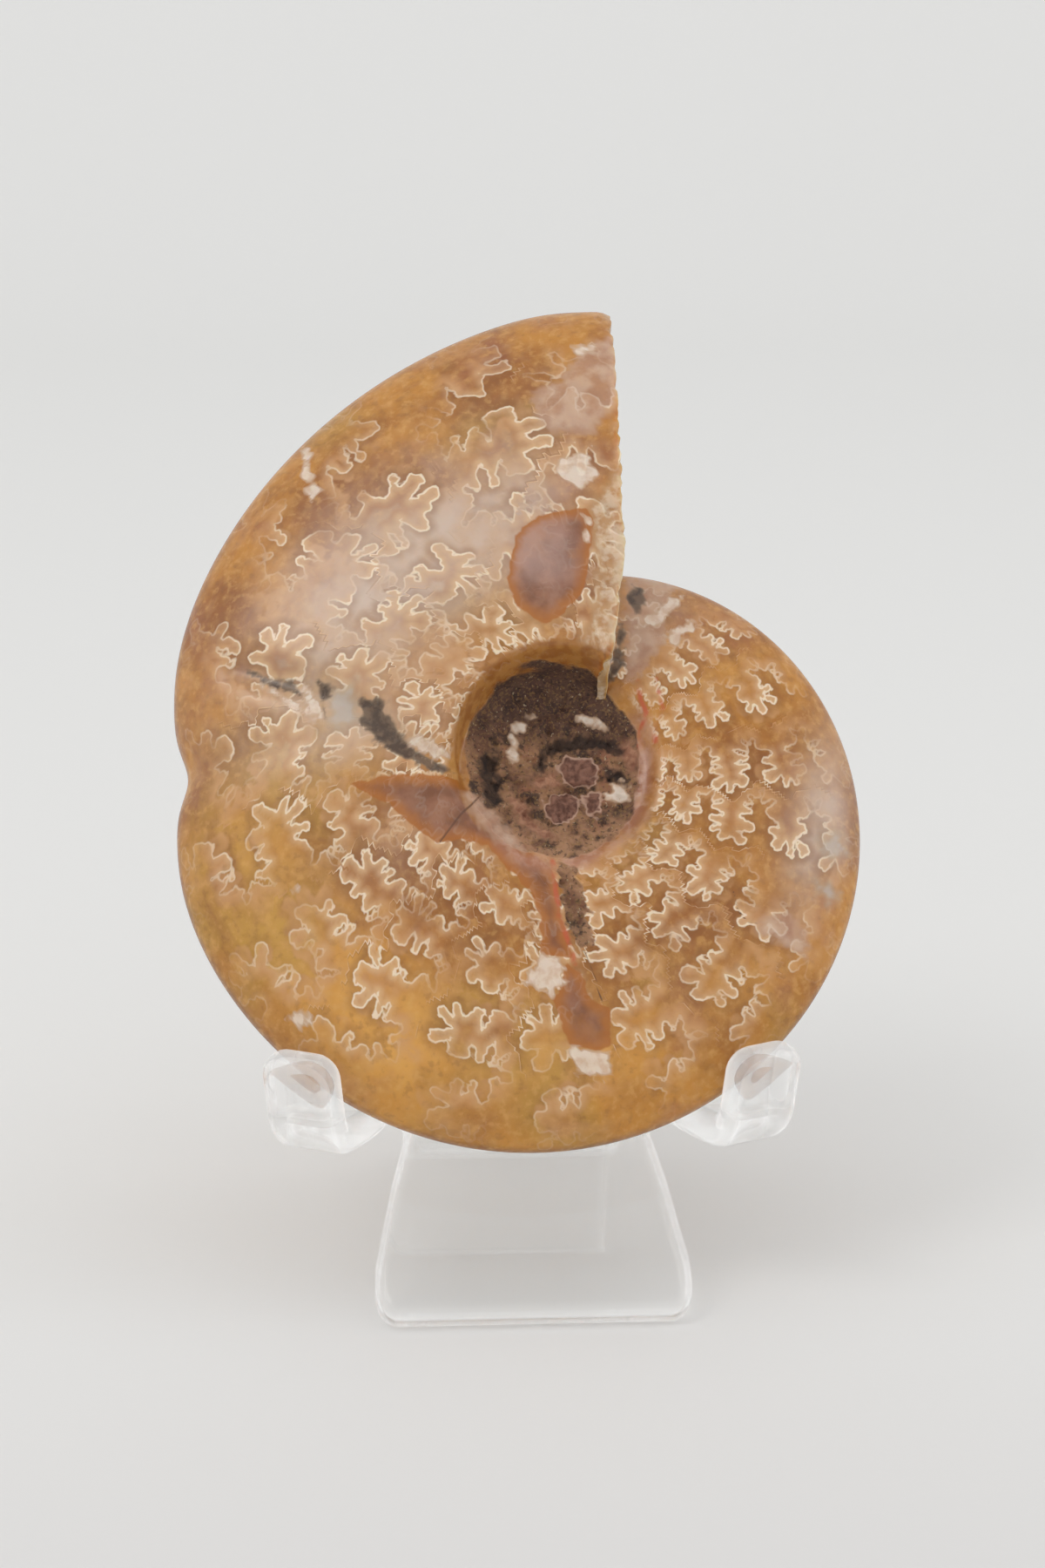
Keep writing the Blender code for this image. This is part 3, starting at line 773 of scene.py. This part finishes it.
def thickened(name, middle):
    """A closed mesh: the middle surface moved both ways along its normals, joined at its edges."""
    count = len(middle.vertices)
    place, normal = np.empty((2, 3 * count))
    middle.vertices.foreach_get("co", place)
    middle.vertices.foreach_get("normal", normal)
    place, normal = place.reshape(-1, 3), normal.reshape(-1, 3)
    faces = np.empty(len(middle.loops), dtype=np.int32)
    middle.loops.foreach_get("vertex_index", faces)
    faces = faces.reshape(-1, 4)
    sides = np.stack([faces, np.roll(faces, -1, axis=1)], axis=-1).reshape(-1, 2)
    _, first, repeats = np.unique(np.sort(sides, axis=1), axis=0, return_index=True, return_counts=True)
    edge = sides[first[repeats == 1]]
    to_edge = distance_to_lines(place, place[edge[:, 0]], place[edge[:, 1]])
    offset = normal * half_sheet(to_edge)[:, None]
    points = np.vstack([place + offset, place - offset])
    points[:, 2] = np.maximum(points[:, 2], FEET_HEIGHT)
    walls = np.stack([edge[:, 1], edge[:, 0], edge[:, 0] + count, edge[:, 1] + count], axis=1)
    return mesh_from(name, points, np.vstack([faces, faces[:, ::-1] + count, walls]), {"to_edge": np.tile(to_edge, 2)})


first = np.cumsum([0] + [patch.size // 3 for patch in patches])
middle_faces = np.vstack([quads(start + np.arange(patch.size // 3).reshape(patch.shape[:2]))
                          for patch, start in zip(patches, first)])
middle = mesh_from("sheet_middle", np.vstack([patch.reshape(-1, 3) for patch in patches]), middle_faces, {})
closed_up(middle, 0.004)
stand_mesh = thickened("clear_stand", middle)
bpy.data.meshes.remove(middle)
stand_mesh.transform(Matrix.Translation(STAND_PLACE) @ Matrix.Scale(MM, 4))
open_edges = closed_up(stand_mesh)
stand_mesh.shade_smooth()
stand_mesh.set_sharp_from_angle(angle=math.radians(60.0))
stand = put_in_scene("clear_stand", stand_mesh)
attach(stand, "root")
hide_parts("display_stand")
print("stand has", 2 * len(stand_mesh.polygons), "triangles and", open_edges, "open edges")

# %% [markdown]
# Clear acrylic, also called PMMA: light passes straight through and bends with an index of 1.49. The
# faces are as smooth as glass. A long path inside the sheet darkens a traced edge more than thin
# plastic does, so the surface is partly see-through as well. The flame-polished edges gather the light
# of a room and look brighter than the sheet: a faint glow that fades away from the edge stands for it.

# %% Clear acrylic
SMOOTH = {"interpolation_type": "SMOOTHSTEP"}
acrylic, acrylic_tree, acrylic_shader = new_material("clear_acrylic_sheet")
to_edge = node(acrylic_tree, "Attribute", {"attribute_name": "to_edge"}).outputs["Fac"]
edge_light = node(acrylic_tree, "MapRange", SMOOTH, Value=to_edge, From_Min=0.1, From_Max=1.5, To_Min=0.17,
                  To_Max=0.01).outputs["Result"]
fill(acrylic_shader, Base_Color="#fbfcfc", Roughness=0.03, IOR=1.49, Transmission_Weight=1.0, Alpha=0.55,
     Emission_Color="#fcfcfc", Emission_Strength=edge_light)
stand_mesh.materials.append(acrylic)
print("acrylic bends light with an index of", round(acrylic_shader.inputs["IOR"].default_value, 2))

# %% [markdown]
# The stone is amber calcite, and its colour is built up in glazes, as a painter would. Every glaze is
# a colour and one or more shares that say where it shows. A share comes from a source: a number
# stored on the mesh, or a grain of a given size in millimetres. The first glazes are broad amber and
# olive clouds, painted shade on the right flank, painted light where the thin edge lets light through,
# streaks of growth near the outer edge, painted shade along the very outer edge, blurred deep frills
# and a pale haze that is partly cloudy stone and partly painted highlight.

# %% Glazes, and the amber
stone, stone_tree, stone_shader = new_material("polished_amber_calcite")
stone_place = node(stone_tree, "TexCoord").outputs["Object"]
ADD, MULTIPLY, MAXIMUM, ABSOLUTE = ({"operation": word} for word in ("ADD", "MULTIPLY", "MAXIMUM", "ABSOLUTE"))


def source(what):
    """A stored number by its name, a grain by its size in mm and its detail, or what is given."""
    if isinstance(what, str):
        return node(stone_tree, "Attribute", {"attribute_name": what}).outputs["Fac"]
    if isinstance(what, tuple):
        size, detail = what
        return node(stone_tree, "TexNoise", Vector=stone_place, Scale=1.0 / (size * MM), Detail=detail).outputs["Fac"]
    return what


def share(what, low, high, start=0.0, end=1.0):
    """A smooth step from a start to an end value while the source goes from low to high, or, with the
    higher level first, while it falls."""
    return node(stone_tree, "MapRange", SMOOTH, Value=source(what), From_Min=low, From_Max=high, To_Min=start,
                To_Max=end).outputs["Result"]


def all_of(first, *others):
    """Where several shares hold at once: their product."""
    total = source(first)
    for other in others:
        total = node(stone_tree, "Math", MULTIPLY, in0=total, in1=source(other)).outputs[0]
    return total


def glaze(under, over, *shares):
    """Lay one colour over another where all of the shares hold."""
    return node(stone_tree, "Mix", {"data_type": "RGBA"}, in0=all_of(*shares), in6=under, in7=over).outputs[2]


def glazes(under, layers):
    """Lay several colours, each by one share of its own."""
    for colour, *step in layers:
        under = glaze(under, colour, share(*step))
    return under


amber = glaze("#965919", "#c2842e", share((9.0, 4.0), 0.36, 0.62))
# Deeper amber on the right flank is painted shade.
amber = glaze(amber, "#8d5220", "dusk", 0.6)
# Lighter amber where the thin edge lets light through is painted light.
amber = glaze(amber, "#e2aa54", "glow", share((4.0, 4.0), 0.25, 0.6, 0.5, 1.0))
amber = glazes(amber, (("#b5903c", (13.0, 2.0), 0.5, 0.64, 0.0, 0.5), ("#a06246", (6.5, 4.0), 0.52, 0.72, 0.0, 0.6),
                       ("#cf9c58", (1.1, 5.0), 0.4, 0.75, 0.0, 0.4), ("#7f5020", (2.7, 5.0), 0.55, 0.8, 0.0, 0.45)))
growth = node(stone_tree, "CombineXYZ", X=all_of("from_cut", 0.09), Y=all_of("across", 14.0)).outputs[0]
streak = node(stone_tree, "TexNoise", Vector=growth, Scale=1.0, Detail=5.0).outputs["Fac"]
amber = glaze(amber, "#8f5330", share("across", 0.35, 0.6), share("across", 0.97, 0.85),
              share("rim_side", 0.1, 0.6, 0.15, 1.0), share(streak, 0.52, 0.72, 0.0, 0.65))
mottle = source((0.8, 7.0))
# The first glaze below, darker brown at the very outer edge, is painted shade along the rim where the edge turns away.
amber = glazes(amber, (("#70402a", "across", 0.95, 0.995, 0.0, 0.5), ("#dca95f", mottle, 0.5, 0.7, 0.0, 0.4),
                       ("#835226", mottle, 0.46, 0.3, 0.0, 0.3)))
amber = glaze(amber, "#cf9c66", share("ghost", -1.3, 0.0), share("ghost", 0.35, 0.0),
              share("ghost_gap", 1.2, 0.8), share((6.0, 2.0), 0.4, 0.6),
              share("across", 0.8, 0.95, 1.0, 0.2), 0.75)
# The pale haze is partly cloudy stone and partly painted highlight.
haze = all_of("haze", share((3.5, 5.0), 0.25, 0.65, 0.62, 1.0))
body = glaze(amber, "#d2beae", haze)
print("amber takes", len(stone_tree.nodes), "nodes")

# %% [markdown]
# Each suture gets four glazes: a warm brown and a cream tint on the chamber's side of the line, a
# darker amber ahead of it, and the thin pale line itself. They show best where the frill reaches
# forward, and fade in cloudy places and near the outer edge. A fine crinkle moves all of them.

# %% Sutures


def crinkled(size, detail, reach):
    """An uneven distance, up to a reach in mm to either side, from a grain."""
    return node(stone_tree, "MapRange", Value=source((size, detail)), To_Min=-reach, To_Max=reach).outputs["Result"]


crinkle = crinkled(0.7, 2.0, 0.1)
line_at = node(stone_tree, "Math", ADD, in0=source("suture"), in1=crinkle).outputs[0]
off_line = node(stone_tree, "Math", ABSOLUTE, in0=line_at).outputs[0]
crinkle_size = node(stone_tree, "Math", ABSOLUTE, in0=crinkle).outputs[0]
line_near = node(stone_tree, "Math", ADD, in0=source("suture_gap"), in1=crinkle_size).outputs[0]
seen = all_of(share((5.5, 2.0), 0.36, 0.56, 0.2, 1.0), share("across", 0.05, 0.11),
              share("suture_tip", -0.42, 0.12, 0.12, 1.0), share("across", 0.7, 0.93, 1.0, 0.12))
near_line = share("suture_gap", 1.25, 0.8)
behind = all_of(near_line, share(line_at, 0.05, 0.0))
rising = share(line_at, -1.25, 0.02)
body = glaze(body, "#b06f38", behind, seen, 0.34)
body = glaze(body, "#e6c499", rising, rising, behind, seen, 0.58)
body = glaze(body, "#85521f", share(line_at, 0.0, 0.06), share(line_at, 1.1, 0.1), near_line, seen, 0.42)
body = glaze(body, "#f6e6cc", share(off_line, 0.14, 0.03), share(line_near, 0.6, 0.3), seen, 0.75)
print("with sutures it takes", len(stone_tree.nodes), "nodes")

# %% [markdown]
# A patch is the inside of one kind of outline, with another colour along its edge. Pale clouds, white
# crystal and mauve shell come first. Then follow two bands around the umbilicus: caramel shell at its
# upper right, and paler shell at its lower left.

# %% Patches of shell and calcite
half_crinkle = all_of(crinkle, 0.5)


def patch(under, name, colour, edge_colour, edge, strength, soft):
    """Glaze the inside of one kind of outline, with another colour near its edge. The last numbers are
    the width of that edge in mm, the strength and the softness of the outline in mm."""
    distance = node(stone_tree, "Math", ADD, in0=source(name), in1=half_crinkle).outputs[0]
    depth = node(stone_tree, "Math", ABSOLUTE, in0=distance).outputs[0]
    filling = glaze(edge_colour, colour, share(depth, 0.1, edge))
    return glaze(under, filling, share(distance, -soft, soft, strength, 0.0))


body = patch(body, "cloud", "#bfb8b0", "#b9a791", 1.0, 0.66, 0.8)
body = patch(body, "crystal", glaze("#b48a5c", "#dccbb2", share((1.0, 5.0), 0.4, 0.62)), "#b78f62", 0.8, 0.62, 0.4)
mauve = glaze("#76452e", "#9a6850", share((2.2, 5.0), 0.35, 0.65))
mauve = glaze(mauve, "#a8682f", share((3.3, 4.0), 0.5, 0.64, 0.0, 0.6))
body = patch(body, "mauve", mauve, "#ad6722", 1.5, 0.88, 0.12)
# Pale pink over the mauve shell where the haze lies is painted highlight.
body = glaze(body, "#c4a498", share(haze, 0.22, 0.6, 0.0, 0.55), share("mauve", -0.1, -0.9))
body = glaze(body, glaze("#9d642d", "#b57f41", share((1.3, 5.0), 0.4, 0.6)),
             share("past_rim", 1.15, 0.8), share("rim_side", 0.02, 0.2), 0.9)
body = glaze(body, glaze("#a8745c", "#c39a86", share((1.5, 4.0), 0.4, 0.62)),
             share("past_rim", 1.9, 0.5), share("rim_side", -0.02, -0.2), share((2.6, 3.0), 0.3, 0.6, 0.35, 0.85))
print("with patches it takes", len(stone_tree.nodes), "nodes")

# %% [markdown]
# The rock in the umbilicus is unpolished brown sandstone with grains about a third of a millimetre
# wide, with painted shade in its upper part and painted light in its lower part. Peach shell, painted
# shadow in the hollows and the oldest whorls are patches on it. The marks that lie on both rock and
# shell come after it: pink and cream shell, dark rock in the cracks, red lines of iridescent shell
# whose flash is a painted glint, and the calcite of the cut.

# %% Rock, cracks and the cut
rock = glaze("#6c4936", "#9b7355", share((2.2, 6.0), 0.36, 0.64))
# In this list the last glaze, darker rock in the upper part where the bowl's wall faces down, is painted shade; the
# lighter rock in the lower part, next, is painted light.
rock = glazes(rock, (("#84683f", (0.5, 3.0), 0.5, 0.72, 0.0, 0.5), ("#8c5a44", (3.1, 4.0), 0.54, 0.66, 0.0, 0.6),
                     ("#33251e", (1.4, 6.0), 0.5, 0.64, 0.0, 0.8), ("#473028", "upper", 0.25, 0.7, 0.0, 0.8)))
rock = glaze(rock, "#ac8262", share("upper", -0.75, -0.2, 0.75, 0.0), share((1.2, 5.0), 0.4, 0.6))
rock = glazes(rock, (("#967345", (0.28, 2.0), 0.52, 0.64, 0.0, 0.4), ("#241a15", (0.36, 3.0), 0.44, 0.34, 0.0, 0.6),
                     ("#b3a083", (0.32, 2.0), 0.66, 0.74, 0.0, 0.75)))
rock = patch(rock, "peach", glaze("#8c5b45", "#b48468", share((0.9, 4.0), 0.35, 0.65)), "#9a6f55", 0.4, 0.8, 0.4)
# The shade patches are painted shadow in the hollows.
rock = patch(rock, "shade", "#261b17", "#3a2a22", 0.5, 0.85, 0.35)
rock = patch(rock, "inner", glaze("#5f3d31", "#8c6453", share((0.6, 4.0), 0.35, 0.65)), "#bd9984", 0.3, 0.95, 0.1)
ragged_rim = node(stone_tree, "Math", ADD, in0=source("past_rim"), in1=crinkled(2.4, 4.0, 0.8)).outputs[0]
in_rock = node(stone_tree, "Math", MAXIMUM, in0=share(ragged_rim, 0.1, -0.2),
               in1=share("rock", 0.15, -0.15)).outputs[0]
body = glaze(body, rock, in_rock)
body = patch(body, "pink", glaze("#b58a70", "#cdb09b", share((2.2, 5.0), 0.35, 0.62)), "#bf9a80", 0.8, 0.7, 0.4)
body = patch(body, "dark", glaze("#3f2e23", "#6f5946", share((0.9, 5.0), 0.4, 0.65)), "#75604c", 0.5, 0.92, 0.24)
body = patch(body, "cream", glaze("#d8bea6", "#e8d9c8", share((1.0, 5.0), 0.35, 0.6)), "#cbad92", 0.3, 0.85, 0.16)
# Red iridescent shell: a real shell layer, with its flash as a painted glint.
body = glaze(body, "#c4562e", share("red", 0.05, 0.4, 0.8, 0.0), share((1.6, 3.0), 0.42, 0.6, 0.1, 1.0))
body = glaze(body, "#5b3a26", share("crack", 0.03, 0.14, 0.8, 0.0))
body = glaze(body, "#cfbd9f", share("from_cut", 1.2, 0.2), share((1.9, 5.0), 0.44, 0.6, 0.1, 0.85),
             share("across", 0.35, 0.6, 1.0, 0.35), share("past_rim", 0.9, 1.8))
calcite = glaze("#a07a4c", "#c9ac84", share((3.0, 6.0), 0.35, 0.65))
calcite = glaze(calcite, "#e3d6c2", share((0.8, 5.0), 0.5, 0.72, 0.0, 0.7))
body = glaze(body, calcite, "cut", share("past_rim", 0.2, 1.6, 0.15, 1.0))
print("with rock and the cut it takes", len(stone_tree.nodes), "nodes")

# %% [markdown]
# Last comes the surface. Polished calcite is smooth, and light sinks a millimetre or two into it before
# it comes back, which is the subsurface part of the shader. Rock and the broken cut are rough and let
# little light in. Fine pits cover the rock, and a faint wave is left on the polish.

# %% The stone's surface
cut_or_rock = node(stone_tree, "Math", MAXIMUM, in0=in_rock, in1=source("cut")).outputs[0]
roughness = node(stone_tree, "Math", MAXIMUM, in0=share(in_rock, 0.0, 1.0, 0.27, 0.85),
                 in1=share("cut", 0.2, 0.8, 0.2, 0.6)).outputs[0]
pits = node(stone_tree, "Math", ADD, in0=all_of((0.35, 4.0), share(in_rock, 0.0, 1.0, 0.06, 1.0)),
            in1=all_of((2.5, 2.0), 0.25)).outputs[0]
fill(stone_shader, Base_Color=body, Roughness=roughness, IOR=1.5,
     Subsurface_Weight=share(cut_or_rock, 0.0, 1.0, 0.45, 0.05), Subsurface_Radius=(1.0, 0.55, 0.28),
     Subsurface_Scale=0.0018,
     Normal=node(stone_tree, "Bump", Strength=0.35, Distance=0.0002, Height=pits).outputs[0])
shell_mesh.materials.append(stone)
print("stone has", len(stone_tree.nodes), "nodes")

# %% [markdown]
# The room is a plain pale sweep with soft light: a broad window of light from the upper left, one
# from the right, and a pale surrounding glow that keeps the shadows faint. The paper is a little
# darker in front, as in the photograph, and that darkening is painted shade. It has a fine tooth of fibres.

# %% Floor and light
# A level run, a quarter circle and an upright run, in metres
bend = np.linspace(0.0, 0.5 * math.pi, 33)
sweep_y = np.concatenate([[-0.6], 0.55 + 0.35 * np.sin(bend), [0.90]])[:, None]
sweep_z = np.concatenate([[0.0], 0.35 - 0.35 * np.cos(bend), [1.6]])[:, None]
sweep = np.stack(np.broadcast_arrays(np.linspace(-1.4, 1.4, 9), sweep_y, sweep_z), axis=-1)
sweep_faces = quads(np.arange(sweep.size // 3).reshape(sweep.shape[:2]))
sweep_mesh = mesh_from("paper_sweep", sweep.reshape(-1, 3), sweep_faces, {})
sweep_mesh.shade_smooth()
backdrop = put_in_scene("paper_sweep", sweep_mesh)
paper, paper_tree, paper_shader = new_material("pale_paper")
paper_place = node(paper_tree, "TexCoord").outputs["Object"]
paper_depth = node(paper_tree, "SeparateXYZ", Vector=paper_place).outputs["Y"]
# Darker paper towards the front is painted shade.
paper_front_shade = node(paper_tree, "MapRange", SMOOTH, Value=paper_depth, From_Min=-0.17, From_Max=0.03).outputs["Result"]
paper_fibre = node(paper_tree, "TexNoise", Vector=paper_place, Scale=900.0, Detail=4.0).outputs["Fac"]
paper_colour = node(paper_tree, "Mix", {"data_type": "RGBA"}, in0=paper_front_shade, in6="#d8d7d6", in7="#ececea").outputs[2]
fill(paper_shader, Base_Color=paper_colour, Roughness=0.9,
     Normal=node(paper_tree, "Bump", Strength=0.1, Distance=0.0002, Height=paper_fibre).outputs[0])
sweep_mesh.materials.append(paper)


def window_light(name, place, size, watts, colour):
    """A rectangular soft light at a place, facing the object."""
    data = bpy.data.lights.new(name, "AREA")
    data.shape = "RECTANGLE"
    data.size, data.size_y = size
    data.energy = watts
    data.color = linear(colour)[:3]
    lamp = put_in_scene(name, data)
    lamp.location = place
    lamp.rotation_euler = (Vector((0.0, 0.0, 0.05)) - Vector(place)).to_track_quat("-Z", "Y").to_euler()


window_light("window_upper_left", (-0.45, -0.35, 0.75), (0.36, 0.3), 1.0, "#fffcfa")
window_light("window_right", (0.75, -0.15, 0.35), (0.3, 0.35), 0.45, "#fbfbff")
world = bpy.data.worlds.new("pale_room")
bpy.context.scene.world = world
world.use_nodes = True
fill(world.node_tree.nodes["Background"], Color="#f4f4f5", Strength=0.95)
bpy.context.scene.view_settings.view_transform = "Standard"
